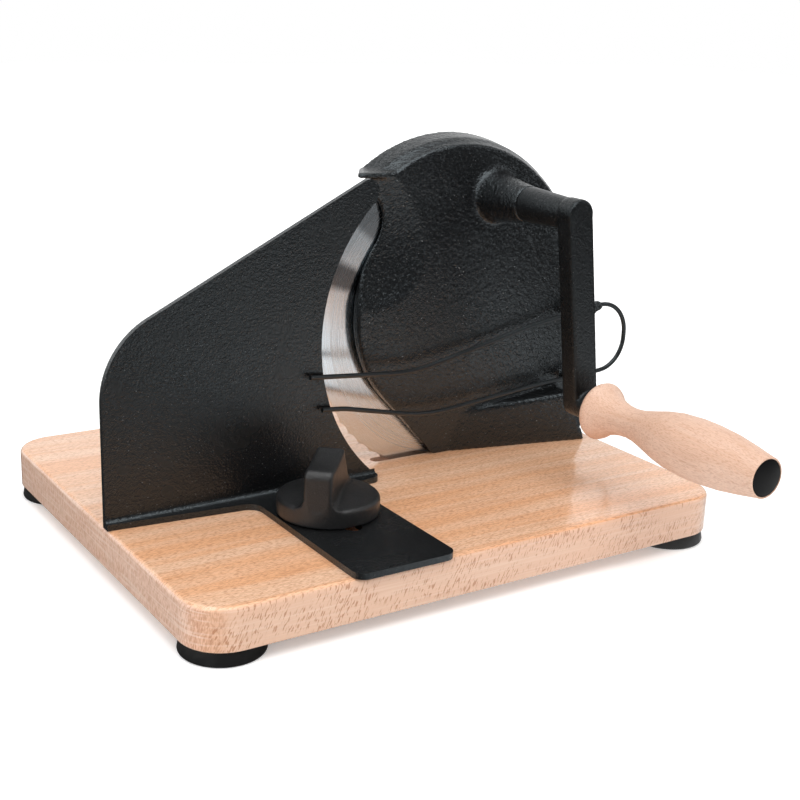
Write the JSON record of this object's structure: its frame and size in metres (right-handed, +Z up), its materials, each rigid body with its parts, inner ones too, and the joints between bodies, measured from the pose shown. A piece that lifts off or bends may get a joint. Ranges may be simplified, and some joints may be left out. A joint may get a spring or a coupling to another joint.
{
  "type": "hand cranked food slicer",
  "caption": "Hand-cranked food slicer: a geared circular blade in a cast housing on a wooden board, with a sliding stop plate, a clamp knob and a wire slice guide.",
  "frame": {"origin": "centre of the bounding box at its base, on the surface that the rubber feet stand on", "axes": "+X along the board's long edge towards the crank, +Y away from the crank's handle, +Z up"},
  "size_m": [0.3172, 0.3126, 0.1963],
  "materials": {
    "beech_board": "oiled satin",
    "beech_handle": "fine sanded",
    "coated_casting": "black textured powder coat",
    "coated_arm": "black textured powder coat",
    "coated_plate": "black textured powder coat",
    "coated_wire": "black coat",
    "blade_steel": "ground and polished",
    "gear_steel": "machined",
    "zinc_steel": "zinc plated",
    "bronze": "machined",
    "black_rubber": "matte",
    "black_plastic": "satin",
    "knob_plastic": "fine spark texture"
  },
  "bodies": {
    "base": {"base_board": "beech_board", "rubber_feet": "black_rubber", "foot_screws": "zinc_steel", "frame_casting": "coated_casting", "frame_screws": "zinc_steel", "frame_screw_washers": "zinc_steel", "blade_axle": "gear_steel", "blade_thrust_washer": "bronze", "blade_cap_washer": "zinc_steel", "blade_screw": "black_plastic", "crank_bushes": "bronze", "clamp_washer": "zinc_steel", "clamp_bolt": "zinc_steel", "clamp_bolt_washer": "zinc_steel", "slice_guide_wire": "coated_wire"},
    "blade_set": {"blade": "blade_steel", "blade_gear": "gear_steel", "gear_rivets": "zinc_steel", "blade_bush": "bronze"},
    "crank": {"crank_shaft": "gear_steel", "drive_pinion": "gear_steel", "crank_arm": "coated_arm", "crank_grub_screw": "gear_steel", "handle_spindle": "zinc_steel", "handle_washer": "zinc_steel", "handle_screw": "zinc_steel"},
    "handle": {"wooden_handle": "beech_handle", "handle_end_cap": "black_plastic"},
    "stop": {"stop_plate": "coated_plate", "guide_keys": "black_plastic"},
    "knob": {"clamp_knob": "knob_plastic", "knob_insert": "bronze"}
  },
  "joints": [
    {"name": "crank_turn", "type": "hinge", "parent": "base", "child": "crank", "pos_m": [0.06459, 0.0338, 0.16424], "axis": [0, 1, 0], "continuous": true},
    {"name": "blade_turn", "type": "hinge", "parent": "base", "child": "blade_set", "pos_m": [0.0464, 0.0404, 0.1008], "axis": [0, 1, 0], "continuous": true},
    {"name": "handle_spin", "type": "hinge", "parent": "crank", "child": "handle", "pos_m": [0.07692, -0.0458, 0.06803], "axis": [0, 1, 0], "continuous": true},
    {"name": "stop_slide", "type": "slide", "parent": "base", "child": "stop", "axis": [0, 1, 0], "range_m": [0, 0.014]},
    {"name": "knob_turn", "type": "hinge", "parent": "base", "child": "knob", "pos_m": [-0.0619, -0.017, 0.037], "axis": [0, 0, 1], "range_deg": [0, 360]}
  ],
  "couplings": [
    {"joint": "blade_turn", "follows": "crank_turn", "ratio": -0.33333}
  ]
}
